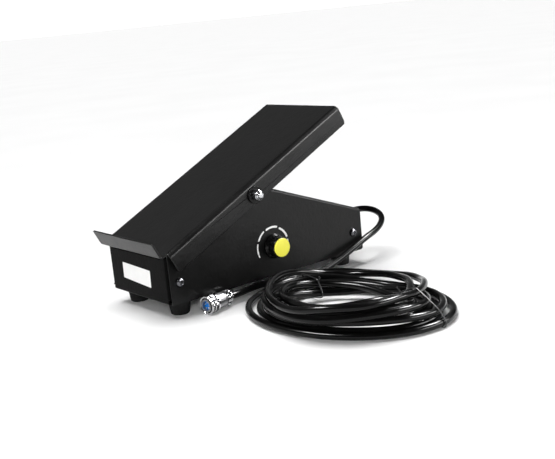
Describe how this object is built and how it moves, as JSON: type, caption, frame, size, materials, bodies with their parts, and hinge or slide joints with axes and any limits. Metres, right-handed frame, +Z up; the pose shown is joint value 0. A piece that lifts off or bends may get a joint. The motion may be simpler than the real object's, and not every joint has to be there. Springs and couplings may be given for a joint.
{
  "type": "foot pedal current control",
  "caption": "Sheet-steel foot pedal with a rocking treadle that drives a potentiometer, a current knob, and a tied coil of cable to a round connector.",
  "frame": {"origin": "on the floor under the middle of the pedal: halfway between the heel lip's outer edge and the rear plate, and halfway across its width", "axes": "+X from the heel end to the cable end, +Z up, so the side with the knob is -Y"},
  "size_m": [0.3233, 0.3626, 0.1792],
  "materials": {
    "black_paint": "fine textured powder coat, satin",
    "foot_rubber": "matte",
    "zinc": "zinc plated",
    "spring_steel": "bright drawn wire",
    "brass": "machined",
    "nylon": "natural",
    "black_plastic": "moulded",
    "yellow_cap": "glossy",
    "cable_jacket": "glossy PVC",
    "chrome": "bright nickel plate",
    "blue_insert": "moulded"
  },
  "bodies": {
    "base": {"base_pan": "black_paint", "side_cover": "black_paint", "foot_front_near": "foot_rubber", "foot_front_far": "foot_rubber", "foot_rear_near": "foot_rubber", "foot_rear_far": "foot_rubber", "heel_stop_near": "foot_rubber", "heel_stop_far": "foot_rubber", "foot_screw_front_near": "zinc", "foot_screw_front_far": "zinc", "foot_screw_rear_near": "zinc", "foot_screw_rear_far": "zinc", "cover_screw_front_near": "zinc", "cover_screw_front_far": "zinc", "cover_screw_rear_near": "zinc", "cover_screw_rear_far": "zinc", "potentiometer_bracket": "zinc", "main_potentiometer_nut": "zinc", "knob_potentiometer_nut": "zinc", "spring_anchor": "zinc", "switch_bracket": "zinc", "clamp_screw_1": "zinc", "clamp_screw_2": "zinc", "tie_left": "zinc", "tie_right": "zinc", "plug_pin_1": "zinc", "plug_pin_2": "zinc", "plug_pin_3": "zinc", "plug_pin_4": "zinc", "plug_pin_5": "zinc", "return_spring": "spring_steel", "pivot_bush_near": "nylon", "pivot_bush_far": "nylon", "terminal_strip": "nylon", "main_potentiometer": "black_plastic", "knob_potentiometer": "black_plastic", "micro_switch": "black_plastic", "cable_gland": "black_plastic", "gland_nut": "black_plastic", "cord_from_gland": "cable_jacket", "cord_coil": "cable_jacket", "cord_to_plug": "cable_jacket", "plug_shell": "chrome", "clamp_saddle": "chrome", "plug_insert": "blue_insert"},
    "treadle_arm": {"treadle": "black_paint", "pivot_axle": "zinc", "pivot_nut_near": "zinc", "pivot_nut_far": "zinc", "pivot_washer_near": "zinc", "pivot_washer_far": "zinc", "drive_sector": "zinc", "spring_hook": "zinc"},
    "pinion": {"drive_pinion": "brass"},
    "lever": {"switch_lever": "zinc"},
    "knob": {"current_knob": "black_plastic", "knob_cap": "yellow_cap", "knob_shaft": "zinc"},
    "plug_ring": {"coupling_ring": "chrome"}
  },
  "joints": [
    {"name": "treadle_pivot", "type": "hinge", "parent": "base", "child": "treadle_arm", "pos_m": [-0.01171, 0, 0.1055], "axis": [0, 1, 0], "range_deg": [0, 18], "stiffness_Nm_per_rad": 1.5, "springref_deg": -20.05, "deforming": ["return_spring"]},
    {"name": "pinion_spin", "type": "hinge", "parent": "base", "child": "pinion", "pos_m": [-0.04483, 0, 0.04813], "axis": [0, 1, 0], "range_deg": [-181, 1]},
    {"name": "lever_swing", "type": "hinge", "parent": "base", "child": "lever", "pos_m": [-0.08741, 0.0112, 0.0695], "axis": [0, 1, 0], "range_deg": [0, 6]},
    {"name": "knob_turn", "type": "hinge", "parent": "base", "child": "knob", "pos_m": [0.01059, -0.057, 0.0464], "axis": [0, 1, 0], "range_deg": [-150, 150]},
    {"name": "ring_spin", "type": "hinge", "parent": "base", "child": "plug_ring", "pos_m": [-0.08811, -0.069, 0.00925], "axis": [0.9833, 0.1822, 0], "continuous": true}
  ],
  "couplings": [
    {"joint": "pinion_spin", "follows": "treadle_pivot", "ratio": -10},
    {"joint": "lever_swing", "follows": "treadle_pivot", "ratio": 0.3}
  ]
}
